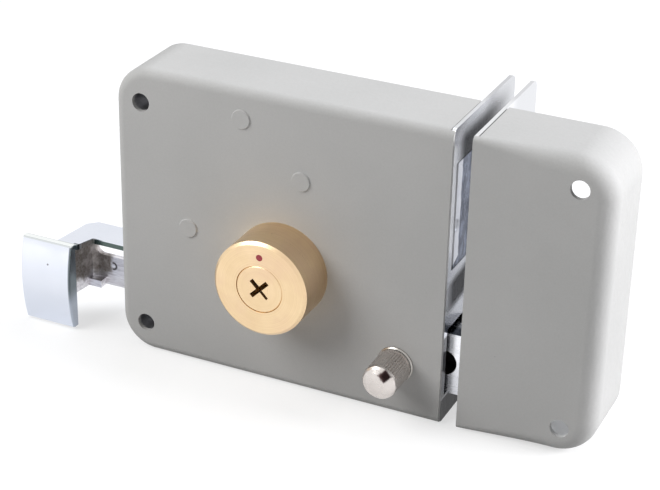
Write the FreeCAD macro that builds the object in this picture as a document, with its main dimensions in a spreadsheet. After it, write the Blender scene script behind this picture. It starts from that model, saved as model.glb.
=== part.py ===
import FreeCAD, Part
import math
import os
import re
import Sketcher

# A surface-mounted rim lock with its keeper, in millimetres.
# The origin is on the key cylinder's axis at the door's face. +X points at the keeper, the front
# faces -Y and +Z is up. Everything with a negative Y stands on the room side of the door.

SIZES = {
    # Case
    "case_width": 114.0,
    "case_height": 100.0,
    "case_depth": 26.0,
    "backset": 55.0,
    "cylinder_height": 42.0,
    "cover_wall": 1.5,
    "case_corner": 12.0,
    "case_bend": 3.0,
    "plate_thickness": 1.2,
    "plate_reach": 26.0,
    "plate_corner": 3.0,
    "back_thickness": 1.5,
    "tab_thickness": 1.5,
    "tab_reach": 15.5,
    # Clearances
    "seat_gap": 0.15,
    "slide_gap": 0.3,
    "running_gap": 0.05,
    # Fixings
    "screw_bore": 6.1,
    "screw_side": 9.3,
    "screw_rise": 10.1,
    "screw_drop": 11.3,
    "sleeve_diameter": 9.0,
    "edge_screw_bore": 4.5,
    "edge_screw_spacing": 32.0,
    "keeper_edge_spacing": 30.0,
    "edge_screw_setback": 13.0,
    "rivet_diameter": 3.0,
    "rivet_head": 5.0,
    "rivet_rise": 0.8,
    "rivet_setback": 3.5,
    "rivet_pitch": 6.0,
    "rivet_sink": 3.5,
    # Guide posts
    "post_diameter": 7.0,
    "post_neck": 5.0,
    "post_head": 6.6,
    "post_head_rise": 0.5,
    "post_head_edge": 0.35,
    "upper_post_across": 14.3,
    "upper_post_drop": 10.0,
    "bolt_post_across": 6.3,
    "bolt_post_share": 0.78,
    "rear_post_across": 33.2,
    "rear_post_above": 6.7,
    "back_screw_diameter": 4.0,
    "back_screw_length": 8.0,
    "back_screw_spare": 1.0,
    # Key cylinder
    "cylinder_diameter": 31.8,
    "cylinder_reach": 15.5,
    "cylinder_edge": 0.9,
    "neck_diameter": 23.8,
    "neck_length": 10.0,
    "nut_diameter": 30.0,
    "nut_thickness": 3.5,
    "nut_notch": 4.0,
    "nut_notch_depth": 1.6,
    "plug_diameter": 15.8,
    "plug_edge": 0.3,
    "plug_shoulder": 0.5,
    "stub_diameter": 14.6,
    "stub_length": 2.0,
    "clip_diameter": 18.6,
    "clip_thickness": 0.8,
    "clip_groove": 0.8,
    "keyway_arm": 3.9,
    "keyway_half": 0.75,
    "keyway_thin": 0.5,
    "keyway_depth": 14.0,
    "pin_diameter": 2.0,
    "first_pin": 4.5,
    "pin_pitch": 3.5,
    "driver_length": 2.3,
    "pin_spring_length": 2.6,
    "dot_diameter": 2.2,
    "dot_depth": 0.4,
    "dot_radius": 10.9,
    # Drive pinion
    "pinion_disc": 10.0,
    "pinion_disc_thickness": 0.9,
    "pinion_disc_gap": 0.15,
    "pinion_length": 5.6,
    "tooth_head": 1.8,
    "tooth_neck": 1.1,
    "hub_diameter": 4.0,
    "tongue_width": 9.0,
    "tongue_thickness": 2.0,
    # Dead bolt
    "bolt_throw": 22.0,
    "bolt_length": 40.0,
    "bolt_drop": 12.2,
    "bolt_above": 10.8,
    "bolt_inset": 4.5,
    "bolt_clearance": 6.5,
    "bolt_edge": 1.2,
    "tail_thickness": 5.0,
    "tail_inset": 13.5,
    "tail_length": 44.0,
    "tail_drop": 5.5,
    "tail_rise": 3.0,
    "drag_strip": 0.6,
    "drag_wing": 10.0,
    "drag_foot": 1.0,
    "drag_overlap": 0.5,
    "rack_addendum": 1.0,
    "rack_mouth": 0.4,
    "rack_left": 29.4,
    "rack_right": 8.0,
    "rack_height": 14.0,
    # Spring latch
    "latch_throw": 14.0,
    "latch_length": 34.0,
    "latch_height": 21.2,
    "latch_drop": 22.2,
    "latch_inset": 5.5,
    "latch_clearance": 6.0,
    "latch_front_gap": 1.5,
    "latch_headroom": 1.9,
    "latch_nose": 3.5,
    "latch_land": 0.5,
    "latch_pocket": 8.6,
    "pocket_depth": 7.5,
    "rod_diameter": 3.6,
    "rod_length": 46.0,
    "rod_grip": 8.0,
    "spring_rise": 6.6,
    "spring_inset": 5.5,
    "spring_diameter": 7.0,
    "spring_wire": 0.9,
    "spring_length": 30.4,
    "spring_turns": 9.0,
    "bracket_thickness": 1.5,
    "bracket_height": 7.0,
    "bracket_foot": 14.0,
    # Pull handle
    "bar_thickness": 2.0,
    "bar_height": 8.0,
    "bar_rise": 1.3,
    "bar_right": 18.0,
    "arm_wall": 2.0,
    "arm_height": 22.0,
    "arm_drop": 21.4,
    "arm_depth": 11.5,
    "arm_inside": 16.0,
    "arm_step": 5.6,
    "web_thickness": 2.6,
    "web_reach": 4.5,
    "web_depth": 3.5,
    "web_corner": 2.0,
    "arm_step_inside": 3.0,
    "arm_slot_width": 6.0,
    "arm_slot_rise": 3.0,
    "arm_slot_left": 20.6,
    "arm_slot_right": 4.0,
    "leg_width": 7.7,
    "leg_lean": 2.1,
    "leg_corner": 3.0,
    "grip_gap": 18.6,
    "grip_width": 19.0,
    "grip_height": 30.5,
    "grip_edge": 2.3,
    "grip_rounding": 0.6,
    "grip_bow": 2.2,
    "grip_inset": 1.9,
    "grip_overhang": 12.2,
    # Snib
    "snib_setback": 15.2,
    "snib_drop": 23.9,
    "bush_diameter": 12.2,
    "bush_rise": 0.8,
    "bush_edge": 0.4,
    "bush_neck": 8.0,
    "snib_nut_diameter": 12.0,
    "snib_nut_thickness": 2.0,
    "washer_thickness": 1.2,
    "spindle_diameter": 4.0,
    "spindle_collar": 5.2,
    "cam_diameter": 4.6,
    "cam_rim": 0.5,
    "cam_flat": 1.0,
    "cam_length": 6.6,
    "knob_diameter": 11.4,
    "knob_length": 11.8,
    "knob_dome": 1.6,
    "knob_edge": 0.9,
    "knob_edge_step": 0.15,
    "knob_band": 0.7,
    "knob_grooves": 40.0,
    "knob_groove": 0.25,
    # Keeper
    "keeper_gap": 6.0,
    "keeper_width": 44.0,
    "keeper_drop": 0.5,
    "keeper_rise": 0.5,
    "keeper_corner": 13.0,
    "keeper_edge_near": 1.6,
    "keeper_edge_far": 5.5,
    "keeper_lip": 9.0,
    "lip_setback": 2.0,
    "keeper_hole_across": 33.2,
    "keeper_hole_rise": 9.6,
    "keeper_hole_drop": 9.6,
    "keeper_bore": 6.0,
}

PINION_TEETH = 6
KEY_TURNS = 1
KEYWAY_ARMS = 4
PIN_STATIONS = 3
RACK_NOTCHES = 9
NUT_NOTCHES = 4
TOLERANCE = 0.01
# How far a cut runs past what it cuts, and how far one feature reaches into the one it joins.
CUT_MARGIN = "5"
JOIN = "1"
# Shares of a length: half a square's half diagonal, and half a hexagon's width across flats.
HALF_DIAGONAL = "0.35355339"
HEXAGON_FLAT = "0.4330127"
# Points on the knob's dome, as shares of its radius and of its rise.
KNOB_DOME = ((0.35, 0.93), (0.65, 0.68), (0.87, 0.27))

# Places worked out from the sizes above.
CASE_RIGHT = "backset"
CASE_LEFT = "(backset - case_width)"
CASE_LOW = "(0 - cylinder_height)"
CASE_HIGH = "(case_height - cylinder_height)"
CASE_FRONT = "(0 - case_depth)"
PLATE_INNER = "(backset - plate_thickness)"
INSIDE_FRONT = "(cover_wall - case_depth)"
BACK_INNER = "(0 - back_thickness)"
SCREW_ACROSS = f"({CASE_LEFT} + screw_side)"
SCREW_LOW = f"({CASE_LOW} + screw_rise)"
SCREW_HIGH = f"({CASE_HIGH} - screw_drop)"
NECK_REAR = "(neck_length - case_depth)"
STUB_REAR = f"({NECK_REAR} + stub_length)"
FACE = "(0 - case_depth - cylinder_reach)"
TOOTH_PITCH = f"(bolt_throw * {KEY_TURNS} / {PINION_TEETH})"
PITCH_RADIUS = f"(bolt_throw / {2 * math.pi * KEY_TURNS})"
BOLT_FRONT = "(bolt_inset - case_depth)"
BOLT_REAR = "(0 - bolt_clearance)"
BOLT_LOW = "bolt_above"
BOLT_HIGH = f"({CASE_HIGH} - bolt_drop)"
TAIL_FRONT = "(tail_inset - case_depth)"
TAIL_LEFT = "(backset - bolt_length - tail_length)"
LATCH_FRONT = "(latch_inset - case_depth)"
LATCH_REAR = "(0 - latch_clearance)"
LATCH_LOW = "(0 - latch_drop - latch_height / 2)"
LATCH_HIGH = "(0 - latch_drop + latch_height / 2)"
LATCH_LEFT = "(backset - latch_length)"
LATCH_TIP = "(backset + latch_throw)"
SPRING_HEIGHT = "(spring_rise - arm_drop)"
SPRING_DEPTH = f"({LATCH_REAR} - spring_inset)"
BRACKET_RIGHT = f"({LATCH_LEFT} - spring_length)"
BRACKET_LEFT = f"({BRACKET_RIGHT} - bracket_thickness)"
BRACKET_FRONT = f"({SPRING_DEPTH} - bracket_height / 2)"
ARM_FRONT = f"({LATCH_REAR} - arm_depth)"
ARM_RIGHT = f"({CASE_LEFT} + arm_inside)"
ARM_LOW = "(0 - arm_drop - arm_height / 2)"
ARM_HIGH = "(0 - arm_drop + arm_height / 2)"
BAR_LOW = "(0 - arm_drop - bar_height / 2 - bar_rise)"
BAR_HIGH = f"({BAR_LOW} + bar_height)"
GRIP_RIGHT = f"({CASE_LEFT} - grip_gap)"
GRIP_LEFT = f"({GRIP_RIGHT} - grip_width)"
GRIP_BACK = "(grip_inset - case_depth)"
LEG_LEFT = f"({GRIP_LEFT} + grip_overhang)"
SNIB_ACROSS = "(backset - snib_setback)"
SNIB_HEIGHT = "(0 - snib_drop)"
KEEPER_LEFT = "(backset + keeper_gap)"
KEEPER_RIGHT = f"({KEEPER_LEFT} + keeper_width)"
KEEPER_LOW = f"({CASE_LOW} + keeper_rise)"
KEEPER_HIGH = f"({CASE_HIGH} - keeper_drop)"
POSTS = {
    "upper_post": ("(0 - upper_post_across)", f"({CASE_HIGH} - upper_post_drop)"),
    "bolt_post": ("bolt_post_across", f"(({BOLT_HIGH} - tail_drop) * bolt_post_share)"),
    "rear_post": ("(0 - rear_post_across)", "rear_post_above"),
}
TAB_LEFT = f"({PLATE_INNER} - tab_thickness)"
TAB_RIVET_DEPTH = "(0 - back_thickness - tab_reach * 2 / 3)"
TAB_LEDGES = (
    (f"({CASE_LOW} + cover_wall + seat_gap)", f"({LATCH_LOW} - 2 * slide_gap)"),
    (f"({LATCH_HIGH} + latch_headroom + slide_gap)", f"({BOLT_LOW} - 2 * slide_gap)"),
    (f"({BOLT_HIGH} + 2 * slide_gap)", f"({CASE_HIGH} - cover_wall - seat_gap)"),
)
TAB_RIVETS = tuple(f"(({low} + {high}) / 2)" for low, high in TAB_LEDGES)
BRACKET_RIVETS = (
    (f"({BRACKET_RIGHT} + rivet_setback)", SPRING_HEIGHT),
    (f"({BRACKET_RIGHT} + rivet_setback + rivet_pitch)", SPRING_HEIGHT),
)
BAR_MIDDLE = f"({BAR_LOW} + bar_height / 2)"
BAR_LEFT = f"({ARM_RIGHT} - 2 * rivet_setback - rivet_pitch)"
BAR_RIGHT = "(backset - bar_right)"
LATCH_RIVETS = (f"({BAR_RIGHT} - rivet_setback)", f"({BAR_RIGHT} - rivet_setback - rivet_pitch)")
ARM_RIVETS = (f"({ARM_RIGHT} - rivet_setback)", f"({ARM_RIGHT} - rivet_setback - rivet_pitch)")
RIVET_HOLE = "rivet_diameter + 2 * running_gap"

doc = FreeCAD.newDocument("rim_lock")
sheet = doc.addObject("Spreadsheet::Sheet", "Sizes")
for row, (alias, amount) in enumerate(SIZES.items(), start=1):
    sheet.set(f"A{row}", alias)
    sheet.set(f"B{row}", str(amount))
    sheet.setAlias(f"B{row}", alias)
doc.recompute()

ALIAS = re.compile(r"[a-z][a-z_]{3,}")
PLANES = {"x": "YZ_Plane", "y": "XZ_Plane", "z": "XY_Plane"}
AXES = {"x": "X_Axis", "y": "Y_Axis", "z": "Z_Axis"}


def bound(text):
    """The same sum with each size's name pointing at its cell."""
    return ALIAS.sub(lambda found: "Sizes." + found.group(0), text)


def number(text):
    """What the sum comes to now."""
    return FreeCAD.Units.Quantity(ALIAS.sub(lambda found: f"({sheet.get(found.group(0))})", text)).Value


def drive(thing, name, text):
    thing.setExpression(name, bound(text))


def origin_feature(body, role):
    return next(feature for feature in body.Origin.OriginFeatures if feature.Role == role)


# Sketch shapes. Each function returns one that draws the shape, so a sketch can hold several.

def fix(sketch, piece, end, across, up):
    """Hold one point of a sketch at its two distances from the sketch's origin."""
    for kind, text in (("DistanceX", across), ("DistanceY", up)):
        index = sketch.addConstraint(Sketcher.Constraint(kind, -1, 1, piece, end, number(text)))
        drive(sketch, f"Constraints[{index}]", text)


def spot(across, up):
    return FreeCAD.Vector(number(across), number(up), 0)


def polygon(*points):
    def draw(sketch):
        first = sketch.GeometryCount
        count = len(points)
        for index in range(count):
            following = (index + 1) % count
            sketch.addGeometry(Part.LineSegment(spot(*points[index]), spot(*points[following])))
        for index in range(count):
            following = (index + 1) % count
            sketch.addConstraint(Sketcher.Constraint("Coincident", first + index, 2, first + following, 1))
            fix(sketch, first + index, 1, *points[index])
    return draw


def rectangle(left, right, low, high):
    return polygon((left, low), (right, low), (right, high), (left, high))


def circle(across, up, diameter):
    def draw(sketch):
        round_line = Part.Circle(spot(across, up), FreeCAD.Vector(0, 0, 1), number(diameter) / 2)
        piece = sketch.addGeometry(round_line)
        fix(sketch, piece, 3, across, up)
        index = sketch.addConstraint(Sketcher.Constraint("Diameter", piece, number(diameter)))
        drive(sketch, f"Constraints[{index}]", diameter)
    return draw


def diagonal_bar(length, width):
    """A bar through the origin that falls an eighth of a turn from the level."""
    long_way = f"(({length} + {width}) * {HALF_DIAGONAL})"
    short_way = f"(({length} - {width}) * {HALF_DIAGONAL})"
    return polygon((f"0 - {long_way}", short_way), (f"0 - {short_way}", long_way),
                   (long_way, f"0 - {short_way}"), (short_way, f"0 - {long_way}"))


def slot(left, right, height, width):
    """A level slot with round ends, its end centres at left and right."""
    def draw(sketch):
        radius = number(width) / 2
        high = f"({height} + {width} / 2)"
        low = f"({height} - {width} / 2)"
        up = FreeCAD.Vector(0, 0, 1)
        ends = (
            (Part.Circle(spot(left, height), up, radius), math.pi / 2, 3 * math.pi / 2),
            (Part.Circle(spot(right, height), up, radius), 3 * math.pi / 2, 5 * math.pi / 2),
        )
        near, far = (sketch.addGeometry(Part.ArcOfCircle(*end)) for end in ends)
        floor = sketch.addGeometry(Part.LineSegment(spot(left, low), spot(right, low)))
        ceiling = sketch.addGeometry(Part.LineSegment(spot(right, high), spot(left, high)))
        for first, second in ((near, floor), (floor, far), (far, ceiling), (ceiling, near)):
            sketch.addConstraint(Sketcher.Constraint("Coincident", first, 2, second, 1))
        fix(sketch, floor, 1, left, low)
        fix(sketch, floor, 2, right, low)
        fix(sketch, ceiling, 1, right, high)
        fix(sketch, ceiling, 2, left, high)
        for piece, across in ((near, left), (far, right)):
            index = sketch.addConstraint(
                Sketcher.Constraint("DistanceX", -1, 1, piece, 3, number(across)))
            drive(sketch, f"Constraints[{index}]", across)
    return draw


def round_ended(square_end, round_end, low, high, radius):
    """A rectangle whose two corners at one end are round."""
    def draw(sketch):
        to_left = number(round_end) < number(square_end)
        inner = f"({round_end} + {radius})" if to_left else f"({round_end} - {radius})"
        corners = ((f"({low} + {radius})", 180 if to_left else 270),
                   (f"({high} - {radius})", 90 if to_left else 0))
        up = FreeCAD.Vector(0, 0, 1)
        arcs = []
        for height, turned in corners:
            ring = Part.Circle(spot(inner, height), up, number(radius))
            arcs.append(sketch.addGeometry(
                Part.ArcOfCircle(ring, math.radians(turned), math.radians(turned + 90))))
        lower, upper = arcs
        low_end, low_start = (2, 1) if to_left else (1, 2)
        high_start, high_end = (2, 1) if to_left else (1, 2)
        floor = sketch.addGeometry(Part.LineSegment(spot(square_end, low), spot(inner, low)))
        end = sketch.addGeometry(
            Part.LineSegment(spot(round_end, corners[0][0]), spot(round_end, corners[1][0])))
        ceiling = sketch.addGeometry(Part.LineSegment(spot(inner, high), spot(square_end, high)))
        side = sketch.addGeometry(Part.LineSegment(spot(square_end, high), spot(square_end, low)))
        joints = ((floor, 2, lower, low_end), (lower, low_start, end, 1), (end, 2, upper, high_start),
                  (upper, high_end, ceiling, 1), (ceiling, 2, side, 1), (side, 2, floor, 1))
        for joint in joints:
            sketch.addConstraint(Sketcher.Constraint("Coincident", *joint))
        for piece, point, across, height in (
                (floor, 1, square_end, low), (floor, 2, inner, low),
                (end, 1, round_end, corners[0][0]), (end, 2, round_end, corners[1][0]),
                (ceiling, 1, inner, high), (ceiling, 2, square_end, high)):
            fix(sketch, piece, point, across, height)
        for arc in arcs:
            index = sketch.addConstraint(Sketcher.Constraint("DistanceX", -1, 1, arc, 3, number(inner)))
            drive(sketch, f"Constraints[{index}]", inner)
    return draw


def bowed(back, edge, bow, low, high):
    """A plate's section with a flat back and a bowed front, the front towards less depth."""
    def draw(sketch):
        half = (number(high) - number(low)) / 2
        rise = number(bow)
        radius = (half * half + rise * rise) / (2 * rise)
        front = f"({back} - {edge})"
        centre_across = f"({front} - {bow} + (({high} - {low}) ^ 2 / 4 + {bow} ^ 2) / (2 * {bow}))"
        centre_up = f"(({high} + {low}) / 2)"
        centre = FreeCAD.Vector(number(front) - rise + radius, number(centre_up), 0)
        start = math.atan2(half, number(front) - centre.x)
        arc = Part.ArcOfCircle(Part.Circle(centre, FreeCAD.Vector(0, 0, 1), radius), start,
                               2 * math.pi - start)
        curve = sketch.addGeometry(arc)
        floor = sketch.addGeometry(Part.LineSegment(spot(front, low), spot(back, low)))
        rear = sketch.addGeometry(Part.LineSegment(spot(back, low), spot(back, high)))
        ceiling = sketch.addGeometry(Part.LineSegment(spot(back, high), spot(front, high)))
        for first, second in ((curve, floor), (floor, rear), (rear, ceiling), (ceiling, curve)):
            sketch.addConstraint(Sketcher.Constraint("Coincident", first, 2, second, 1))
        fix(sketch, floor, 1, front, low)
        fix(sketch, rear, 1, back, low)
        fix(sketch, rear, 2, back, high)
        fix(sketch, ceiling, 2, front, high)
        index = sketch.addConstraint(
            Sketcher.Constraint("DistanceX", -1, 1, curve, 3, number(centre_across)))
        drive(sketch, f"Constraints[{index}]", centre_across)
    return draw


# Features. A solid grows, and a cut goes, from its start towards more X, Y or Z.

def new_body(label):
    body = doc.addObject("PartDesign::Body", label)
    body.Label = label
    return body


def sketch_across(body, name, axis, start, shapes):
    sketch = body.newObject("Sketcher::SketchObject", name)
    sketch.AttachmentSupport = [(origin_feature(body, PLANES[axis]), "")]
    sketch.MapMode = "FlatFace"
    away = f"-1 * ({start})" if axis == "y" else start
    drive(sketch, "AttachmentOffset.Base.z", away)
    for draw in shapes:
        draw(sketch)
    return sketch


def grow(body, name, axis, start, length, *shapes):
    pad = body.newObject("PartDesign::Pad", name)
    pad.Profile = sketch_across(body, name + "_sketch", axis, start, shapes)
    pad.Reversed = axis == "y"
    drive(pad, "Length", length)
    return pad


def cut(body, name, axis, start, length, *shapes):
    before = volume_now(body)
    pocket = body.newObject("PartDesign::Pocket", name)
    pocket.Profile = sketch_across(body, name + "_sketch", axis, start, shapes)
    pocket.Reversed = axis != "y"
    drive(pocket, "Length", length)
    if not volume_now(body) < before:
        raise ValueError(f"{body.Label}: {name} cuts nothing")
    return pocket


def turn(body, name, points):
    """A solid of revolution about the body's own Y axis, from (radius, depth) points."""
    revolution = body.newObject("PartDesign::Revolution", name)
    sketch = sketch_across(body, name + "_sketch", "z", "0", [polygon(*points)])
    revolution.Profile = sketch
    revolution.ReferenceAxis = (sketch, ["V_Axis"])
    revolution.Angle = 360
    return revolution


def volume_now(body):
    doc.recompute()
    return body.Shape.Volume


def around(body, name, feature, count):
    """Repeat one feature evenly round the body's Y axis."""
    pattern = body.newObject("PartDesign::PolarPattern", name)
    pattern.Originals = [feature]
    pattern.Axis = (origin_feature(body, AXES["y"]), [""])
    pattern.Angle = 360
    pattern.Occurrences = count
    body.Tip = pattern
    return pattern


def along(body, name, feature, axis, spacing, count):
    """Repeat one feature in a line towards more X, Y or Z."""
    pattern = body.newObject("PartDesign::LinearPattern", name)
    pattern.Originals = [feature]
    pattern.Direction = (origin_feature(body, AXES[axis]), [""])
    pattern.Mode = "Spacing"
    drive(pattern, "Offset", spacing)
    pattern.Occurrences = count
    body.Tip = pattern
    return pattern


def edges_where(body, chosen):
    doc.recompute()
    base = body.Tip
    names = [f"Edge{index}" for index, edge in enumerate(base.Shape.Edges, start=1) if chosen(edge)]
    if not names:
        raise ValueError(f"{body.Label}: no edge to round")
    return (base, names)


def round_edges(body, name, radius, chosen):
    base = edges_where(body, chosen)
    fillet = body.newObject("PartDesign::Fillet", name)
    fillet.Base = base
    drive(fillet, "Radius", radius)
    return fillet


def bevel_edges(body, name, size, chosen):
    base = edges_where(body, chosen)
    chamfer = body.newObject("PartDesign::Chamfer", name)
    chamfer.Base = base
    drive(chamfer, "Size", size)
    return chamfer


def place(body, across="0", depth="0", up="0"):
    for name, text in (("x", across), ("y", depth), ("z", up)):
        drive(body, f"Placement.Base.{name}", text)


def near(first, second):
    return abs(first - second) < TOLERANCE


def runs_along(edge, axis):
    """Whether a straight edge lies along X, Y or Z."""
    if not isinstance(edge.Curve, Part.Line):
        return False
    return near(abs(getattr(edge.Curve.Direction, axis)), 1)


def middle(edge):
    return edge.BoundBox.Center


def group(label, members):
    """Like pieces kept as separate solids under one name."""
    compound = doc.addObject("Part::Compound", label)
    compound.Label = label
    compound.Links = members
    return compound


# Case

def case_cover():
    """A pressed steel cover, open at the back and at the end that the front plate closes."""
    body = new_body("case_cover")
    left, right, low, high = CASE_LEFT, CASE_RIGHT, CASE_LOW, CASE_HIGH
    grow(body, "cover", "y", CASE_FRONT, "case_depth", round_ended(right, left, low, high, "case_corner"))
    round_edges(body, "front_bend", "case_bend",
                lambda edge: near(edge.BoundBox.YMax, number(CASE_FRONT)) and not on_end(edge, CASE_RIGHT))
    cut(body, "hollow", "y", INSIDE_FRONT, f"case_depth + {CUT_MARGIN}",
        round_ended(f"({right} + {CUT_MARGIN})", f"({left} + cover_wall)", f"({low} + cover_wall)",
                    f"({high} - cover_wall)", "(case_corner - cover_wall)"))
    round_edges(body, "inner_bend", "case_bend - cover_wall",
                lambda edge: near(edge.BoundBox.YMax, number(INSIDE_FRONT))
                and near(edge.BoundBox.YMin, number(INSIDE_FRONT)) and not on_end(edge, CASE_RIGHT))
    cut(body, "plate_seat", "x", f"{PLATE_INNER} - slide_gap", f"plate_thickness + slide_gap + {CUT_MARGIN}",
        rectangle(INSIDE_FRONT, CUT_MARGIN, f"{low} - {CUT_MARGIN}", f"{high} + {CUT_MARGIN}"))
    posts = [circle(*spot_of, "post_neck + 2 * running_gap") for spot_of in POSTS.values()]
    cut(body, "front_holes", "y", f"{CASE_FRONT} - {CUT_MARGIN}", f"cover_wall + 2 * {CUT_MARGIN}",
        circle("0", "0", "neck_diameter + 2 * seat_gap"),
        circle(SNIB_ACROSS, SNIB_HEIGHT, "bush_neck + 2 * running_gap"),
        circle(SCREW_ACROSS, SCREW_LOW, "screw_bore"),
        circle(SCREW_ACROSS, SCREW_HIGH, "screw_bore"), *posts)
    cut(body, "arm_opening", "x", f"{left} - {CUT_MARGIN}", f"cover_wall + 2 * {CUT_MARGIN}",
        rectangle(f"{ARM_FRONT} - slide_gap", CUT_MARGIN,
                  f"{ARM_LOW} - slide_gap", f"{ARM_HIGH} + slide_gap"))
    return body


def on_end(edge, across):
    """Whether an edge lies in the end plane at the given X."""
    return near(edge.BoundBox.XMin, number(across)) and near(edge.BoundBox.XMax, number(across))


def front_plate():
    """The chromed plate on the case's end, which also reaches back along the door's edge."""
    body = new_body("front_plate")
    grow(body, "plate", "x", PLATE_INNER, "plate_thickness",
         rectangle(INSIDE_FRONT, "plate_reach", CASE_LOW, CASE_HIGH))
    round_edges(body, "far_corners", "plate_corner",
                lambda edge: runs_along(edge, "x") and near(middle(edge).y, number("plate_reach")))
    round_edges(body, "near_corners", "cover_wall",
                lambda edge: runs_along(edge, "x") and near(middle(edge).y, number(INSIDE_FRONT)))
    cut(body, "bolt_windows", "x", f"{PLATE_INNER} - {CUT_MARGIN}", f"plate_thickness + 2 * {CUT_MARGIN}",
        rectangle(f"{BOLT_FRONT} - slide_gap", f"{BOLT_REAR} + slide_gap",
                  f"{BOLT_LOW} - slide_gap", f"{BOLT_HIGH} + slide_gap"),
        rectangle(f"{LATCH_FRONT} - latch_front_gap", f"{LATCH_REAR} + slide_gap",
                  f"{LATCH_LOW} - slide_gap", f"{LATCH_HIGH} + latch_headroom"))
    cut(body, "rivet_holes", "x", f"{PLATE_INNER} - {CUT_MARGIN}", f"plate_thickness + 2 * {CUT_MARGIN}",
        *[circle(TAB_RIVET_DEPTH, height, RIVET_HOLE) for height in TAB_RIVETS])
    edge_screw_holes(body, PLATE_INNER, f"({CASE_LOW} + {CASE_HIGH}) / 2", "edge_screw_spacing")
    return body


def edge_screw_holes(body, left, centre, spacing):
    """Screw holes in the flange that lies along the door's or the frame's edge."""
    depth = "plate_reach - edge_screw_setback"
    heights = [f"{centre} + {step} * {spacing}" for step in (-1, 0, 1)]
    cut(body, "edge_screws", "x", f"{left} - {CUT_MARGIN}", f"plate_thickness + 2 * {CUT_MARGIN}",
        *[circle(depth, height, "edge_screw_bore") for height in heights])


def back_plate():
    """The flat plate that closes the back, with folded tabs that carry the front plate."""
    body = new_body("back_plate")
    inset = "(cover_wall + seat_gap)"
    grow(body, "plate", "y", BACK_INNER, "back_thickness",
         round_ended(PLATE_INNER, f"({CASE_LEFT} + {inset})", f"({CASE_LOW} + {inset})",
                     f"({CASE_HIGH} - {inset})", f"(case_corner - {inset})"))
    for index, (low, high) in enumerate(TAB_LEDGES):
        grow(body, f"tab_{index}", "y", "0 - back_thickness - tab_reach", "tab_reach",
             rectangle(TAB_LEFT, PLATE_INNER, low, high))
    cut(body, "tab_rivet_holes", "x", f"{TAB_LEFT} - {CUT_MARGIN}", f"tab_thickness + 2 * {CUT_MARGIN}",
        *[circle(TAB_RIVET_DEPTH, height, RIVET_HOLE) for height in TAB_RIVETS])
    cut(body, "holes", "y", f"0 - back_thickness - {CUT_MARGIN}", f"back_thickness + 2 * {CUT_MARGIN}",
        circle("0", "0", "hub_diameter + 2 * running_gap"),
        circle(SCREW_ACROSS, SCREW_LOW, "screw_bore"),
        circle(SCREW_ACROSS, SCREW_HIGH, "screw_bore"),
        *[circle(across, up, RIVET_HOLE) for across, up in BRACKET_RIVETS],
        *[circle(*spot_of, "back_screw_diameter + 2 * seat_gap") for spot_of in POSTS.values()])
    bevel_edges(body, "countersinks", "back_thickness - seat_gap", on_back_screw)
    return body


def on_back_screw(edge):
    """The outer rim of a hole over a guide post."""
    if not near(edge.BoundBox.YMin, 0) or not isinstance(edge.Curve, Part.Circle):
        return False
    centre = edge.Curve.Center
    return any(near(centre.x, number(across)) and near(centre.z, number(up))
               for across, up in POSTS.values())


def screw_sleeves():
    """Two spacers that keep the mounting screws from crushing the case."""
    body = new_body("screw_sleeves")
    rings = []
    for up in (SCREW_LOW, SCREW_HIGH):
        rings += [circle(SCREW_ACROSS, up, "sleeve_diameter"), circle(SCREW_ACROSS, up, "screw_bore")]
    grow(body, "sleeves", "y", INSIDE_FRONT, "case_depth - cover_wall - back_thickness", *rings)
    return body


def guide_post(label):
    """A post riveted over on the cover's front and tapped at the back."""
    across, up = POSTS[label]
    body = new_body(label)
    bore = "back_screw_diameter / 2"
    bore_front = f"({BACK_INNER} - back_screw_length)"
    turn(body, "post", (
        ("0", f"{CASE_FRONT} - post_head_rise"),
        ("post_head / 2 - post_head_edge", f"{CASE_FRONT} - post_head_rise"),
        ("post_head / 2", CASE_FRONT), ("post_neck / 2", CASE_FRONT), ("post_neck / 2", INSIDE_FRONT),
        ("post_diameter / 2", INSIDE_FRONT), ("post_diameter / 2", BACK_INNER), (bore, BACK_INNER),
        (bore, bore_front), ("0", bore_front)))
    place(body, across, "0", up)
    return body


def back_screws():
    """Countersunk screws that hold the back plate to the posts."""
    screws = []
    for label, (across, up) in POSTS.items():
        body = new_body(f"{label}_screw")
        shank = "back_screw_diameter / 2 - running_gap"
        tip = f"({BACK_INNER} - back_screw_length + back_screw_spare)"
        turn(body, "screw", (
            ("0", "0"), (f"{shank} + back_thickness - seat_gap", "0"),
            (shank, "0 - back_thickness + seat_gap"), (shank, tip), ("0", tip)))
        place(body, across, "0", up)
        screws.append(body)
    return group("back_screws", screws)


def plate_rivets():
    """Rivets, flush outside, that join the front plate to the tabs."""
    body = new_body("plate_rivets")
    shanks = [circle(TAB_RIVET_DEPTH, height, "rivet_diameter") for height in TAB_RIVETS]
    heads = [circle(TAB_RIVET_DEPTH, height, "rivet_head") for height in TAB_RIVETS]
    head_left = f"({TAB_LEFT} - rivet_rise)"
    grow(body, "shanks", "x", head_left, "rivet_rise + tab_thickness + plate_thickness", *shanks)
    grow(body, "heads", "x", head_left, "rivet_rise", *heads)
    return body


# Key cylinder. Its keyway and pins are drawn square to the axes and turned by an eighth of a turn.

EIGHTH = FreeCAD.Rotation(FreeCAD.Vector(0, 1, 0), 45)
PLUG_RADIUS = "(plug_diameter / 2)"
BODY_BORE = "(plug_diameter / 2 + running_gap)"
PIN_TOP = "(plug_diameter / 2 - running_gap)"
DRIVER_TOP = f"({BODY_BORE} + driver_length)"
PIN_CHAMBER_TOP = f"({DRIVER_TOP} + pin_spring_length)"


def station(index):
    return f"({FACE} + first_pin + {index} * pin_pitch)"


STATIONS = tuple(station(index) for index in range(PIN_STATIONS))


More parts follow.
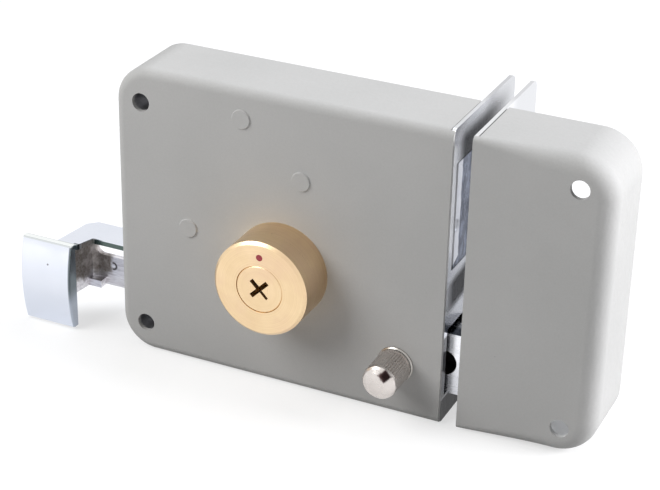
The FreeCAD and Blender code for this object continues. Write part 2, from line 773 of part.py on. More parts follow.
def pin_chambers(body, name, start, length):
    chamber = cut(body, name, "x", start, length,
                  *[circle(depth, "0", "pin_diameter + 2 * running_gap") for depth in STATIONS])
    around(body, name + "_rows", chamber, KEYWAY_ARMS)


def cylinder_body():
    """The brass cylinder that stands on the cover, with its neck through the cover."""
    body = new_body("cylinder_body")
    rim = "(cylinder_diameter / 2)"
    turn(body, "turning", (
        (BODY_BORE, FACE), (f"{rim} - cylinder_edge", FACE), (rim, f"{FACE} + cylinder_edge"),
        (rim, CASE_FRONT), ("neck_diameter / 2", CASE_FRONT), ("neck_diameter / 2", NECK_REAR),
        (BODY_BORE, NECK_REAR)))
    pin_chambers(body, "chambers", f"{PLUG_RADIUS} - {JOIN}", f"{PIN_CHAMBER_TOP} - {PLUG_RADIUS} + {JOIN}")
    dot_side = f"(dot_radius * 2 * {HALF_DIAGONAL})"
    cut(body, "dot_recess", "y", f"{FACE} - {CUT_MARGIN}", f"dot_depth + {CUT_MARGIN}",
        circle(f"0 - {dot_side}", dot_side, "dot_diameter"))
    body.Placement = FreeCAD.Placement(FreeCAD.Vector(), EIGHTH)
    return body


def alignment_dot():
    """The red enamel dot that shows which way up the key goes in."""
    dot = doc.addObject("Part::Cylinder", "alignment_dot")
    dot.Label = "alignment_dot"
    drive(dot, "Radius", "dot_diameter / 2")
    drive(dot, "Height", "dot_depth")
    dot.Placement = FreeCAD.Placement(FreeCAD.Vector(), FreeCAD.Rotation(FreeCAD.Vector(1, 0, 0), -90))
    place(dot, "0", FACE, "dot_radius")
    return dot


def cylinder_nut():
    """The ring nut that clamps the cover between itself and the cylinder."""
    body = new_body("cylinder_nut")
    inner = "(neck_diameter / 2 + running_gap)"
    nut_rear = f"({INSIDE_FRONT} + nut_thickness)"
    turn(body, "ring", (
        (inner, INSIDE_FRONT), ("nut_diameter / 2", INSIDE_FRONT), ("nut_diameter / 2", nut_rear),
        (inner, nut_rear)))
    notch = cut(body, "notch", "y", f"{INSIDE_FRONT} - {CUT_MARGIN}", f"nut_thickness + 2 * {CUT_MARGIN}",
                rectangle("0 - nut_notch / 2", "nut_notch / 2", "nut_diameter / 2 - nut_notch_depth",
                          f"nut_diameter / 2 + {CUT_MARGIN}"))
    around(body, "notches", notch, NUT_NOTCHES)
    return body


def key_plug():
    """The turning plug with its cross keyway, pin chambers, clip groove and rear slot."""
    body = new_body("key_plug")
    stub = "(stub_diameter / 2)"
    groove = f"({stub} - clip_groove)"
    groove_front = f"({NECK_REAR} + running_gap)"
    groove_rear = f"({NECK_REAR} + 3 * running_gap + clip_thickness)"
    turn(body, "turning", (
        ("0", FACE), (f"{PLUG_RADIUS} - plug_edge", FACE), (PLUG_RADIUS, f"{FACE} + plug_edge"),
        (PLUG_RADIUS, f"{NECK_REAR} - plug_shoulder"), (stub, f"{NECK_REAR} - plug_shoulder"),
        (stub, groove_front), (groove, groove_front), (groove, groove_rear), (stub, groove_rear),
        (stub, STUB_REAR), ("0", STUB_REAR)))
    arm, half, thin = "keyway_arm", "keyway_half", "keyway_thin"
    cut(body, "keyway", "y", f"{FACE} - {CUT_MARGIN}", f"keyway_depth + {CUT_MARGIN}", polygon(
        (half, f"0 - {thin}"), (arm, f"0 - {thin}"), (arm, thin), (half, thin), (half, arm),
        (f"0 - {half}", arm), (f"0 - {half}", half), (f"0 - {arm}", half), (f"0 - {arm}", f"0 - {half}"),
        (f"0 - {half}", f"0 - {half}"), (f"0 - {half}", f"0 - {arm}"), (half, f"0 - {arm}")))
    pin_chambers(body, "chambers", "keyway_arm - keyway_thin", f"{PLUG_RADIUS} - keyway_arm + {CUT_MARGIN}")
    cut(body, "rear_slot", "y", f"{STUB_REAR} - tongue_thickness", f"tongue_thickness + {CUT_MARGIN}",
        rectangle("0 - stub_diameter", "stub_diameter", "0 - tongue_thickness / 2 - running_gap",
                  "tongue_thickness / 2 + running_gap"))
    body.Placement = FreeCAD.Placement(FreeCAD.Vector(), EIGHTH)
    return body


def plug_clip():
    """The open retaining ring in the plug's groove."""
    body = new_body("plug_clip")
    inner = "(stub_diameter / 2 - clip_groove + running_gap)"
    front = f"({NECK_REAR} + 2 * running_gap)"
    rear = f"({front} + clip_thickness)"
    turn(body, "ring", (
        (inner, front), ("clip_diameter / 2", front), ("clip_diameter / 2", rear), (inner, rear)))
    cut(body, "mouth", "y", f"{front} - {CUT_MARGIN}", f"clip_thickness + 2 * {CUT_MARGIN}",
        rectangle("0 - stub_diameter / 3", "stub_diameter / 3", "0 - clip_diameter", "0 - stub_diameter / 5"))
    return body


def radial_pins(label, start, length, diameter):
    """One small cylinder for each pin chamber, from start outwards."""
    pins = []
    for arm in range(KEYWAY_ARMS):
        angle = 45 + arm * 360 / KEYWAY_ARMS
        outward = FreeCAD.Rotation(FreeCAD.Vector(0, 1, 0), angle)
        for index, depth in enumerate(STATIONS):
            pin = doc.addObject("Part::Cylinder", f"{label}_{arm}_{index}")
            drive(pin, "Radius", f"{diameter} / 2")
            drive(pin, "Height", length)
            middle_line = outward.multVec(FreeCAD.Vector(0, 0, number(start)))
            pin.Placement = FreeCAD.Placement(
                FreeCAD.Vector(middle_line.x, number(depth), middle_line.z), outward)
            pins.append(pin)
    return group(label, pins)


def drive_pinion():
    """The pinion that the plug turns: tongue, disc, round-headed teeth and rear journal."""
    body = new_body("drive_pinion")
    disc_front = f"({STUB_REAR} + pinion_disc_gap)"
    teeth_front = f"({disc_front} + pinion_disc_thickness)"
    teeth_rear = f"({teeth_front} + pinion_length)"
    hub = "(hub_diameter / 2)"
    turn(body, "turning", (
        ("0", disc_front), ("pinion_disc / 2", disc_front), ("pinion_disc / 2", teeth_front),
        (hub, teeth_front), (hub, "0 - seat_gap"), ("0", "0 - seat_gap")))
    neck = grow(body, "tooth_neck", "y", teeth_front, "pinion_length",
                rectangle("0 - tooth_neck / 2", "tooth_neck / 2", "0", PITCH_RADIUS))
    around(body, "tooth_necks", neck, PINION_TEETH)
    head = grow(body, "tooth_head", "y", teeth_front, "pinion_length",
                circle("0", PITCH_RADIUS, "tooth_head"))
    around(body, "tooth_heads", head, PINION_TEETH)
    grow(body, "tongue", "y", f"{STUB_REAR} - tongue_thickness + seat_gap",
         "tongue_thickness + pinion_disc_gap - seat_gap", diagonal_bar("tongue_width", "tongue_thickness"))
    return body


# Dead bolt

def dead_bolt():
    """A solid head with a slotted tail and a rack along its lower edge."""
    body = new_body("dead_bolt")
    head_left = "(backset - bolt_length)"
    tail_high = f"({BOLT_HIGH} - tail_drop)"
    rack_tip = f"({PITCH_RADIUS} - rack_addendum)"
    grow(body, "head", "y", BOLT_FRONT, f"{BOLT_REAR} - {BOLT_FRONT}",
         rectangle(head_left, CASE_RIGHT, BOLT_LOW, BOLT_HIGH))
    grow(body, "tail", "y", TAIL_FRONT, "tail_thickness",
         rectangle(TAIL_LEFT, f"{head_left} + {JOIN}", f"{BOLT_LOW} + tail_rise", tail_high))
    grow(body, "rack_bar", "y", TAIL_FRONT, "tail_thickness",
         rectangle("0 - rack_left", "rack_right", rack_tip, f"{rack_tip} + rack_height"))
    cut(body, "post_slot", "y", f"{TAIL_FRONT} - {CUT_MARGIN}", f"tail_thickness + 2 * {CUT_MARGIN}",
        slot("bolt_post_across - bolt_throw", "bolt_post_across", POSTS["bolt_post"][1],
             "(post_diameter + 2 * slide_gap)"))
    # The last notch stands one pitch right of the pinion's axis, and the first clears the thrown bolt.
    first = f"(0 - {RACK_NOTCHES - 2} * {TOOTH_PITCH})"
    root = "(tooth_head / 2 + 2 * running_gap)"
    mouth = "(tooth_head / 2 + rack_mouth)"
    notch = cut(body, "rack_notch", "y", f"{TAIL_FRONT} - {CUT_MARGIN}",
                f"tail_thickness + 2 * {CUT_MARGIN}", polygon(
                    (f"{first} - {mouth}", f"{rack_tip} - {JOIN}"),
                    (f"{first} + {mouth}", f"{rack_tip} - {JOIN}"),
                    (f"{first} + {mouth}", rack_tip), (f"{first} + {root}", PITCH_RADIUS),
                    (f"{first} + {root}", f"{PITCH_RADIUS} + {root}"),
                    (f"{first} - {root}", f"{PITCH_RADIUS} + {root}"),
                    (f"{first} - {root}", PITCH_RADIUS), (f"{first} - {mouth}", rack_tip)))
    along(body, "rack_notches", notch, "x", TOOTH_PITCH, RACK_NOTCHES)
    bevel_edges(body, "head_edge", "bolt_edge",
                lambda edge: runs_along(edge, "z") and near(middle(edge).x, number(CASE_RIGHT))
                and near(middle(edge).y, number(BOLT_FRONT)))
    return body


def bolt_drag_spring():
    """A spring clip on the upper post whose wings drag on the bolt's tail."""
    across, up = POSTS["upper_post"]
    body = new_body("bolt_drag_spring")
    inner = "(post_diameter + 4 * running_gap)"
    front = f"({TAIL_FRONT} - drag_overlap)"
    width = "tail_thickness + 2 * drag_overlap"
    grow(body, "wrap", "y", front, width,
         circle("0", "0", f"{inner} + 2 * drag_strip"), circle("0", "0", inner))
    foot = f"({BOLT_HIGH} - tail_drop + slide_gap - {up})"
    neck = f"(0 - {inner} / 2 - drag_strip)"
    right = ("2 * drag_strip", "drag_wing - drag_foot", "drag_wing")
    left = tuple(f"0 - ({distance})" for distance in right)
    grow(body, "wings", "y", front, width, polygon(
        (left[2], foot), (left[1], foot), (left[0], neck), (right[0], neck), (right[1], foot),
        (right[2], foot), (right[2], f"{foot} + drag_strip"), (right[1], f"{foot} + drag_strip"),
        (right[0], f"{neck} + drag_strip"), (left[0], f"{neck} + drag_strip"),
        (left[1], f"{foot} + drag_strip"), (left[2], f"{foot} + drag_strip")))
    place(body, across, "0", up)
    return body


# Spring latch and its pull

def latch_bolt():
    """A latch with its slope towards the door, and a round-ended pocket that clears the snib."""
    body = new_body("latch_bolt")
    grow(body, "block", "y", LATCH_FRONT, f"{LATCH_REAR} - {LATCH_FRONT}",
         rectangle(LATCH_LEFT, LATCH_TIP, LATCH_LOW, LATCH_HIGH))
    slope = f"{LATCH_FRONT} + latch_nose"
    cut(body, "slope", "z", f"{LATCH_LOW} - {CUT_MARGIN}", f"latch_height + 2 * {CUT_MARGIN}",
        polygon((f"{CASE_RIGHT} + latch_land", LATCH_REAR),
                (f"{CASE_RIGHT} + latch_land", f"{LATCH_REAR} + {CUT_MARGIN}"),
                (f"{LATCH_TIP} + {CUT_MARGIN}", f"{LATCH_REAR} + {CUT_MARGIN}"),
                (f"{LATCH_TIP} + {CUT_MARGIN}", slope), (LATCH_TIP, slope)))
    cut(body, "snib_pocket", "y", f"{LATCH_FRONT} - {CUT_MARGIN}", f"pocket_depth + {CUT_MARGIN}",
        slot(SNIB_ACROSS, f"{SNIB_ACROSS} + latch_throw", "0 - latch_drop", "latch_pocket"))
    cut(body, "rod_hole", "x", f"{LATCH_LEFT} - {CUT_MARGIN}", f"rod_grip + {CUT_MARGIN}",
        circle(SPRING_DEPTH, SPRING_HEIGHT, "rod_diameter + 2 * running_gap"))
    cut(body, "rivet_holes", "y", f"{LATCH_REAR} - rivet_sink - seat_gap", f"rivet_sink + {CUT_MARGIN}",
        *[circle(across, BAR_MIDDLE, RIVET_HOLE) for across in LATCH_RIVETS])
    return body


def draw_bar():
    """The flat bar that joins the pull handle to the latch."""
    body = new_body("draw_bar")
    grow(body, "bar", "y", LATCH_REAR, "bar_thickness",
         rectangle(BAR_LEFT, BAR_RIGHT, BAR_LOW, BAR_HIGH))
    cut(body, "rivet_holes", "y", f"{LATCH_REAR} - {CUT_MARGIN}", f"bar_thickness + 2 * {CUT_MARGIN}",
        *[circle(across, BAR_MIDDLE, RIVET_HOLE) for across in LATCH_RIVETS + ARM_RIVETS])
    return body


def draw_rivets():
    """Two rivets through the arm and two into the latch."""
    body = new_body("draw_rivets")
    bar_rear = f"({LATCH_REAR} + bar_thickness)"
    wall_front = f"({LATCH_REAR} - arm_wall)"
    grow(body, "latch_shanks", "y", f"{LATCH_REAR} - rivet_sink", "rivet_sink + bar_thickness",
         *[circle(across, BAR_MIDDLE, "rivet_diameter") for across in LATCH_RIVETS])
    grow(body, "arm_shanks", "y", f"{wall_front} - rivet_rise", "rivet_rise + arm_wall + bar_thickness",
         *[circle(across, BAR_MIDDLE, "rivet_diameter") for across in ARM_RIVETS])
    grow(body, "rear_heads", "y", bar_rear, "rivet_rise",
         *[circle(across, BAR_MIDDLE, "rivet_head") for across in LATCH_RIVETS + ARM_RIVETS])
    grow(body, "front_heads", "y", f"{wall_front} - rivet_rise", "rivet_rise",
         *[circle(across, BAR_MIDDLE, "rivet_head") for across in ARM_RIVETS])
    return body


def pull_handle():
    """A cast pull: a bowed finger plate on an angle-section arm with an oblong slot."""
    body = new_body("pull_handle")
    top = ARM_HIGH
    corner_left = f"({LEG_LEFT} + leg_lean)"
    inner_left = f"({LEG_LEFT} + leg_width)"
    rear, front = LATCH_REAR, ARM_FRONT
    grow(body, "top_flange", "z", f"{top} - arm_wall", "arm_wall", polygon(
        (LEG_LEFT, GRIP_BACK), (inner_left, GRIP_BACK), (f"{inner_left} + leg_lean", front),
        (ARM_RIGHT, front), (ARM_RIGHT, rear), (f"{corner_left} + leg_corner", rear),
        (corner_left, f"{rear} - leg_corner")))
    wall_inner = f"({rear} - arm_wall)"
    grow(body, "rear_wall", "z", ARM_LOW, "arm_height", polygon(
        (LEG_LEFT, GRIP_BACK), (f"{LEG_LEFT} + arm_wall", GRIP_BACK),
        (f"{corner_left} + arm_wall", f"{wall_inner} - leg_corner / 2"),
        (f"{corner_left} + arm_wall + leg_corner / 2", wall_inner), (ARM_RIGHT, wall_inner),
        (ARM_RIGHT, rear), (f"{corner_left} + leg_corner", rear), (corner_left, f"{rear} - leg_corner")))
    web_left = f"({corner_left} + arm_wall / 2)"
    web_right = f"({corner_left} + arm_wall + web_reach)"
    grow(body, "corner_web", "z", ARM_LOW, "web_thickness", polygon(
        (web_left, f"{wall_inner} - web_depth"), (web_right, f"{wall_inner} - web_depth"),
        (web_right, f"{wall_inner} + {JOIN}"), (f"{web_left} + web_corner", f"{wall_inner} + {JOIN}"),
        (web_left, f"{wall_inner} + {JOIN} - web_corner")))
    cut(body, "inside_step", "y", f"{ARM_FRONT} - {CUT_MARGIN}", f"arm_depth + 2 * {CUT_MARGIN}",
        rectangle(f"{CASE_LEFT} + arm_step_inside", f"{ARM_RIGHT} + {CUT_MARGIN}",
                  f"{ARM_LOW} - {CUT_MARGIN}", f"{ARM_LOW} + arm_step"))
    cut(body, "wall_slot", "y", f"{wall_inner} - {JOIN}", f"arm_wall + {CUT_MARGIN}",
        slot(f"{CASE_LEFT} - arm_slot_left + arm_slot_width / 2", f"{CASE_LEFT} - arm_slot_right",
             "arm_slot_rise - arm_drop", "arm_slot_width"))
    cut(body, "rivet_holes", "y", f"{wall_inner} - {JOIN}", f"arm_wall + {CUT_MARGIN}",
        *[circle(across, BAR_MIDDLE, RIVET_HOLE) for across in ARM_RIVETS])
    grow(body, "finger_plate", "x", GRIP_LEFT, "grip_width",
         bowed(GRIP_BACK, "grip_edge", "grip_bow", f"({top} - grip_height)", top))
    round_edges(body, "plate_ends", "grip_rounding",
                lambda edge: (on_end(edge, GRIP_LEFT) or on_end(edge, GRIP_RIGHT))
                and edge.BoundBox.YMax < number(f"{GRIP_BACK} - grip_edge / 2"))
    return body


def latch_guide_rod():
    """The rod that keeps the latch's spring and the latch in line."""
    rod = doc.addObject("Part::Cylinder", "latch_guide_rod")
    rod.Label = "latch_guide_rod"
    drive(rod, "Radius", "rod_diameter / 2")
    drive(rod, "Height", "rod_length")
    rod.Placement = FreeCAD.Placement(FreeCAD.Vector(), FreeCAD.Rotation(FreeCAD.Vector(0, 1, 0), 90))
    place(rod, f"{LATCH_LEFT} + rod_grip - rod_length", SPRING_DEPTH, SPRING_HEIGHT)
    return rod


def latch_spring():
    """The open coil spring on the guide rod, which pushes the latch out."""
    wire = number("spring_wire")
    coil = (number("spring_diameter") - wire) / 2
    length = number("spring_length") - wire
    helix = Part.makeHelix(length / number("spring_turns"), length, coil)
    section = Part.Wire(Part.makeCircle(wire / 2, FreeCAD.Vector(coil, 0, 0), FreeCAD.Vector(0, 1, 0)))
    shape = Part.Wire(helix).makePipeShell([section], True, True)
    spring = doc.addObject("Part::Feature", "latch_spring")
    spring.Label = "latch_spring"
    spring.Shape = shape
    start = FreeCAD.Vector(number(BRACKET_RIGHT) + wire / 2, number(SPRING_DEPTH), number(SPRING_HEIGHT))
    spring.Placement = FreeCAD.Placement(start, FreeCAD.Rotation(FreeCAD.Vector(0, 1, 0), 90))
    return spring


def spring_bracket():
    """An angle on the back plate: the spring's fixed seat and the rod's guide."""
    body = new_body("spring_bracket")
    low, high = f"({SPRING_HEIGHT} - bracket_height / 2)", f"({SPRING_HEIGHT} + bracket_height / 2)"
    foot_front = f"({BACK_INNER} - bracket_thickness)"
    grow(body, "foot", "y", foot_front, "bracket_thickness",
         rectangle(BRACKET_LEFT, f"{BRACKET_RIGHT} + bracket_foot", low, high))
    grow(body, "web", "x", BRACKET_LEFT, "bracket_thickness",
         rectangle(BRACKET_FRONT, f"{foot_front} + {JOIN}", low, high))
    cut(body, "rod_hole", "x", f"{BRACKET_LEFT} - {CUT_MARGIN}", f"bracket_thickness + 2 * {CUT_MARGIN}",
        circle(SPRING_DEPTH, SPRING_HEIGHT, "rod_diameter + 4 * running_gap"))
    cut(body, "rivet_holes", "y", f"{foot_front} - {CUT_MARGIN}", f"bracket_thickness + 2 * {CUT_MARGIN}",
        *[circle(across, up, RIVET_HOLE) for across, up in BRACKET_RIVETS])
    return body


def bracket_rivets():
    """Two rivets, flush behind, that hold the bracket on the back plate."""
    body = new_body("bracket_rivets")
    foot_front = f"({BACK_INNER} - bracket_thickness)"
    grow(body, "shanks", "y", f"{foot_front} - rivet_rise", "rivet_rise + bracket_thickness + back_thickness",
         *[circle(across, up, "rivet_diameter") for across, up in BRACKET_RIVETS])
    grow(body, "heads", "y", f"{foot_front} - rivet_rise", "rivet_rise",
         *[circle(across, up, "rivet_head") for across, up in BRACKET_RIVETS])
    return body


# Snib

BUSH_BORE = "(spindle_diameter / 2 + running_gap)"
CAM_FRONT = f"({LATCH_FRONT} - 2 * running_gap)"


def snib_bush():
    """The collar on the cover that carries the snib's spindle."""
    body = new_body("snib_bush")
    neck_rear = f"({INSIDE_FRONT} + snib_nut_thickness)"
    collar_front = f"({CASE_FRONT} - bush_rise)"
    turn(body, "turning", (
        (BUSH_BORE, collar_front), ("bush_diameter / 2 - bush_edge", collar_front),
        ("bush_diameter / 2", f"{collar_front} + bush_edge"), ("bush_diameter / 2", CASE_FRONT),
        ("bush_neck / 2", CASE_FRONT), ("bush_neck / 2", neck_rear), (BUSH_BORE, neck_rear)))
    place(body, SNIB_ACROSS, "0", SNIB_HEIGHT)
    return body


def snib_nut():
    """The hexagon nut that clamps the bush to the cover."""
    body = new_body("snib_nut")
    inner = "(bush_neck / 2 + running_gap)"
    rear = f"({INSIDE_FRONT} + snib_nut_thickness)"
    turn(body, "ring", (
        (inner, INSIDE_FRONT), ("snib_nut_diameter / 2", INSIDE_FRONT),
        ("snib_nut_diameter / 2", rear), (inner, rear)))
    flat = cut(body, "flat", "y", f"{INSIDE_FRONT} - {CUT_MARGIN}", f"snib_nut_thickness + 2 * {CUT_MARGIN}",
               rectangle("0 - snib_nut_diameter", "snib_nut_diameter",
                         f"snib_nut_diameter * {HEXAGON_FLAT}", "snib_nut_diameter"))
    around(body, "flats", flat, 6)
    place(body, SNIB_ACROSS, "0", SNIB_HEIGHT)
    return body


def snib_washer():
    """A spring washer that holds the snib where it is turned."""
    body = new_body("snib_washer")
    front = f"({INSIDE_FRONT} + snib_nut_thickness)"
    rear = f"({front} + washer_thickness)"
    turn(body, "ring", (
        (BUSH_BORE, front), ("bush_neck / 2", front), ("bush_neck / 2", rear), (BUSH_BORE, rear)))
    place(body, SNIB_ACROSS, "0", SNIB_HEIGHT)
    return body


def snib_spindle():
    """The spindle through the bush, with a flat-sided cam in the latch's pocket."""
    body = new_body("snib_spindle")
    shank = "(spindle_diameter / 2)"
    collar = "(spindle_collar / 2)"
    shoulder = f"({INSIDE_FRONT} + snib_nut_thickness + washer_thickness + running_gap)"
    cam_rear = f"({CAM_FRONT} + cam_length)"
    tip = f"({CASE_FRONT} - bush_rise - knob_length / 2)"
    turn(body, "turning", (
        ("0", tip), (shank, tip), (shank, shoulder), (collar, shoulder), (collar, CAM_FRONT),
        ("cam_diameter / 2", CAM_FRONT), ("cam_diameter / 2", cam_rear), ("0", cam_rear)))
    cut(body, "cam_flat", "y", f"{CAM_FRONT} + cam_rim", f"cam_length + {CUT_MARGIN}",
        rectangle("0 - cam_diameter", "cam_diameter", "cam_flat", "cam_diameter"))
    place(body, SNIB_ACROSS, "0", SNIB_HEIGHT)
    return body


def snib_knob():
    """The fluted knob with a domed end."""
    body = new_body("snib_knob")
    rear = f"({CASE_FRONT} - bush_rise - slide_gap)"
    front = f"({rear} - knob_length)"
    rim = "(knob_diameter / 2)"
    bore = "(spindle_diameter / 2 + running_gap)"
    bore_front = f"({CASE_FRONT} - bush_rise - knob_length / 2 - seat_gap)"
    dome = [(f"{rim} * {out}", f"{front} - knob_dome * {rise}") for out, rise in KNOB_DOME]
    turn(body, "turning", (
        ("0", f"{front} - knob_dome"), *dome, (f"{rim} - knob_edge_step", f"{front} + knob_edge / 3"),
        (rim, f"{front} + knob_edge"), (rim, rear), (bore, rear), (bore, bore_front), ("0", bore_front)))
    flute = cut(body, "flute", "y", f"{front} + knob_edge", "knob_length - knob_edge - knob_band",
                polygon(("0 - 2 * knob_groove", f"{rim} + knob_groove"), ("0", f"{rim} - knob_groove"),
                        ("2 * knob_groove", f"{rim} + knob_groove")))
    around(body, "flutes", flute, int(number("knob_grooves")))
    place(body, SNIB_ACROSS, "0", SNIB_HEIGHT)
    return body


# Keeper

def pillow(label, left, right, low, high, front, depth, corner, near_edge, far_edge):
    """A box whose far corners are round and whose front edge softens from one end to the other."""
    body = new_body(label + "_form")
    grow(body, "block", "y", front, depth, round_ended(left, right, low, high, corner))
    doc.recompute()
    soft = doc.addObject("Part::Fillet", label)
    soft.Base = body
    edges = []
    small, large = number(near_edge), number(far_edge)
    for index, edge in enumerate(body.Shape.Edges, start=1):
        box = edge.BoundBox
        if not near(box.YMax, number(front)) or on_end(edge, left):
            continue
        if runs_along(edge, "x"):
            starts_left = near(edge.Vertexes[0].Point.x, number(left))
            edges.append((index, small, large) if starts_left else (index, large, small))
        else:
            edges.append((index, large, large))
    soft.Edges = edges
    return soft


def keeper_cover():
    """The painted keeper box, open at the back and at the end that its plate closes."""
    left, right, low, high = KEEPER_LEFT, KEEPER_RIGHT, KEEPER_LOW, KEEPER_HIGH
    outside = pillow("keeper_outside", left, right, low, high, CASE_FRONT, "case_depth",
                     "keeper_corner", "keeper_edge_near", "keeper_edge_far")
    inside = pillow("keeper_inside", f"({left} - {CUT_MARGIN})", f"({right} - cover_wall)",
                    f"({low} + cover_wall)", f"({high} - cover_wall)", INSIDE_FRONT,
                    f"case_depth + {CUT_MARGIN}", "keeper_corner - cover_wall",
                    "keeper_edge_near / 2", "keeper_edge_far - cover_wall / 2")
    cover = doc.addObject("Part::Cut", "keeper_shell")
    cover.Base = outside
    cover.Tool = inside
    tools = []
    seat = doc.addObject("Part::Box", "keeper_plate_seat")
    drive(seat, "Length", f"plate_thickness + slide_gap + {CUT_MARGIN}")
    drive(seat, "Width", f"case_depth + {CUT_MARGIN}")
    drive(seat, "Height", f"{high} - {low} + 2 * {CUT_MARGIN}")
    place(seat, f"{left} - {CUT_MARGIN}", INSIDE_FRONT, f"{low} - {CUT_MARGIN}")
    tools.append(seat)
    for index, height in enumerate((f"{low} + keeper_hole_rise", f"{high} - keeper_hole_drop")):
        hole = doc.addObject("Part::Cylinder", f"keeper_hole_{index}")
        hole.Placement = FreeCAD.Placement(FreeCAD.Vector(), FreeCAD.Rotation(FreeCAD.Vector(1, 0, 0), -90))
        drive(hole, "Radius", "keeper_bore / 2")
        drive(hole, "Height", f"cover_wall + 2 * {CUT_MARGIN}")
        place(hole, f"{left} + keeper_hole_across", f"{CASE_FRONT} - {CUT_MARGIN}", height)
        tools.append(hole)
    for index, tool in enumerate(tools):
        following = doc.addObject("Part::Cut", f"keeper_cut_{index}")
        following.Base = cover
        following.Tool = tool
        cover = following
    cover.Label = "keeper_cover"
    return cover


def keeper_plate():
    """The chromed plate on the keeper's end, with lips inside the box and a flange behind."""
    body = new_body("keeper_plate")
    low, high = KEEPER_LOW, KEEPER_HIGH
    wall = "(cover_wall + seat_gap)"
    grow(body, "plate", "x", KEEPER_LEFT, "plate_thickness",
         rectangle(INSIDE_FRONT, "plate_reach", low, high))
    round_edges(body, "far_corners", "plate_corner",
                lambda edge: runs_along(edge, "x") and near(middle(edge).y, number("plate_reach")))
    for name, lip_low in (("lower_lip", f"{low} + {wall}"),
                          ("upper_lip", f"{high} - {wall} - plate_thickness")):
        grow(body, name, "x", KEEPER_LEFT, "keeper_lip",
             rectangle("0 - case_depth * 2 / 3", "0 - lip_setback", lip_low, f"{lip_low} + plate_thickness"))
    cut(body, "bolt_windows", "x", f"{KEEPER_LEFT} - {CUT_MARGIN}", f"plate_thickness + 2 * {CUT_MARGIN}",
        rectangle(f"{BOLT_FRONT} - 2 * slide_gap", f"{BOLT_REAR} + 2 * slide_gap",
                  f"{BOLT_LOW} - 2 * slide_gap", f"{BOLT_HIGH} + 2 * slide_gap"),
        rectangle(f"{LATCH_FRONT} - 2 * slide_gap", f"{LATCH_REAR} + 2 * slide_gap",
                  f"{LATCH_LOW} - 2 * slide_gap", f"{LATCH_HIGH} + 2 * slide_gap"))
    edge_screw_holes(body, KEEPER_LEFT, f"({low} + {high}) / 2", "keeper_edge_spacing")
    return body


def check(thing):
    doc.recompute()
    for item in doc.Objects:
        if {"Invalid", "Error"} & set(item.State):
            raise ValueError(f"{thing.Label}: {item.Name} failed")
    if thing.Shape.isNull() or not thing.Shape.isValid():
        raise ValueError(f"{thing.Label}: its solid isn't valid")


def build():
    pin_size = "(pin_diameter - 2 * running_gap)"
    key_pin = ("(keyway_arm + running_gap)", f"{PIN_TOP} - keyway_arm - running_gap", pin_size)
    driver_pin = (f"({BODY_BORE} + running_gap)", "driver_length - 2 * running_gap", pin_size)
    pin_spring = (DRIVER_TOP, "pin_spring_length - running_gap", pin_size)
    pieces = [
        case_cover(), front_plate(), back_plate(), screw_sleeves(),
        *[guide_post(label) for label in POSTS],
        back_screws(), plate_rivets(),
        cylinder_body(), alignment_dot(), cylinder_nut(), key_plug(), plug_clip(), drive_pinion(),
        radial_pins("key_pins", *key_pin), radial_pins("driver_pins", *driver_pin),
        radial_pins("pin_springs", *pin_spring),
        dead_bolt(), bolt_drag_spring(),
        latch_bolt(), draw_bar(), draw_rivets(), pull_handle(),
        latch_guide_rod(), latch_spring(), spring_bracket(), bracket_rivets(),
        snib_bush(), snib_nut(), snib_washer(), snib_spindle(), snib_knob(),
        keeper_cover(), keeper_plate(),
    ]
    os.makedirs("parts", exist_ok=True)
    for piece in pieces:
        check(piece)
    for piece in pieces:
        piece.Shape.exportStep(f"parts/{piece.Label}.step")
        print(piece.Label, len(piece.Shape.Solids), "solids", round(piece.Shape.Volume, 1), "mm3")


build()
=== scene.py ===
import bpy
from mathutils import Matrix, Vector


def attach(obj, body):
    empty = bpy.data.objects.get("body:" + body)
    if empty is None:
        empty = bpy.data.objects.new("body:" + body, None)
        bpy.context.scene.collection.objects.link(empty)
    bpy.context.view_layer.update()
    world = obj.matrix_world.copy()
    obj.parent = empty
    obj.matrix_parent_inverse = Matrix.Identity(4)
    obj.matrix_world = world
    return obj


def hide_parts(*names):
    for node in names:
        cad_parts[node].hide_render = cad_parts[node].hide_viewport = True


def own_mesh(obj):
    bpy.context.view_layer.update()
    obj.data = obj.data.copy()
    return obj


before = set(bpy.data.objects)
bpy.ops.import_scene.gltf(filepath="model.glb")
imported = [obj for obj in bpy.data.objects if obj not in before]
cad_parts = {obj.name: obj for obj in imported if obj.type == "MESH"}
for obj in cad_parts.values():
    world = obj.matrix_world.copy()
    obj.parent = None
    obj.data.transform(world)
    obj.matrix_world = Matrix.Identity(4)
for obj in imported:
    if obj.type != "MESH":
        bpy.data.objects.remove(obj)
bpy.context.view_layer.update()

# Places on the lock, in metres: X runs towards the keeper, Y into the door and Z up
CASE_LOW = -0.042
BOLT_END = 0.0546
LATCH_FRONT = -0.0205
LATCH_TOP = -0.0116
POCKET_HEIGHT = -0.0222
POCKET_RADIUS = 0.0043
POCKET_DEPTH = 0.0077
POCKET_END = 0.0581
ARM_TOP = -0.0104
ARM_UNDERSIDE = -0.0124
ARM_BACK = -0.0061
ARM_CORNER = -0.0738
GRIP_BACK = -0.0241
GRIP_END = -0.0780
SNIB_ACROSS = 0.0398
SNIB_HEIGHT = -0.0239
SNIB_DOME = -0.0381

# The middle part of a noise's values, which holds nearly all of them
NOISE_LOW = 0.3
NOISE_HIGH = 0.7

FLOOR_SIZE = 6.0
FLOOR_GAP = 0.00005
LIGHTS_AIM = (0.02, -0.015, 0.005)
WHITE = (1.0, 1.0, 1.0, 1.0)


# Node helpers

def darker(colour, share):
    return tuple(channel * share for channel in colour)


